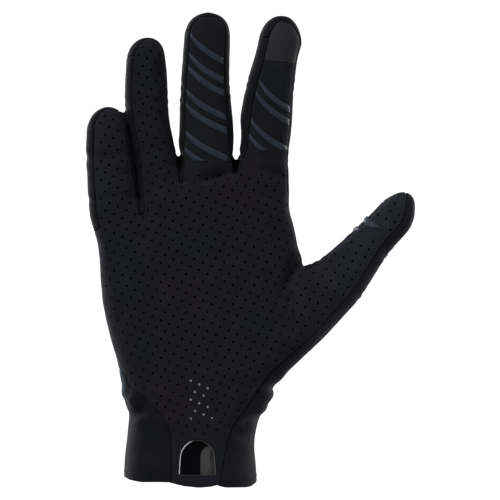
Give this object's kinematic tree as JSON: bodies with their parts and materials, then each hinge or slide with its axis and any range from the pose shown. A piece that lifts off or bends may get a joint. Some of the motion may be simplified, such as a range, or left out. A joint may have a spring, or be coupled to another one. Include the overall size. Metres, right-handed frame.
{
  "type": "cycling glove",
  "caption": "Right-hand full-finger cycling glove with a perforated palm, finger gussets, silicone grip bars, a touch cap and a knitted cuff with a pull-on window.",
  "frame": {"origin": "middle of the wrist opening, level with the hem of the cuff, where the glove sits on a wrist", "axes": "+Z from the hem towards the fingertips, -Y out of the palm, +Y out of the back of the hand, +X towards the thumb"},
  "size_m": [0.1588, 0.05, 0.2301],
  "materials": {
    "palm_suede": "perforated synthetic suede, black with a purple cast",
    "stretch_jersey": "smooth stretch jersey, black",
    "cuff_knit": "soft knit, black",
    "touch_fabric": "fine conductive suede, dark grey",
    "silicone": "printed silicone, slate blue, half gloss",
    "binding": "bound edge, pale grey",
    "care_label": "plain white satin label",
    "size_label": "plain grey satin label"
  },
  "bodies": {
    "root": {"palm_panel": "palm_suede", "back_panel": "stretch_jersey", "gusset_pinky_ring": "stretch_jersey", "gusset_ring_middle": "stretch_jersey", "gusset_middle_index": "stretch_jersey", "cuff": "cuff_knit", "touch_cap": "touch_fabric", "window_binding": "binding", "care_label": "care_label", "size_label": "size_label", "middle_grip_1": "silicone", "middle_grip_2": "silicone", "middle_grip_3": "silicone", "middle_grip_4": "silicone", "middle_grip_5": "silicone", "middle_grip_6": "silicone", "middle_grip_7": "silicone", "index_grip_1": "silicone", "index_grip_2": "silicone", "index_grip_3": "silicone", "index_grip_4": "silicone", "thumb_grip_1": "silicone", "thumb_grip_2": "silicone"}
  },
  "joints": []
}
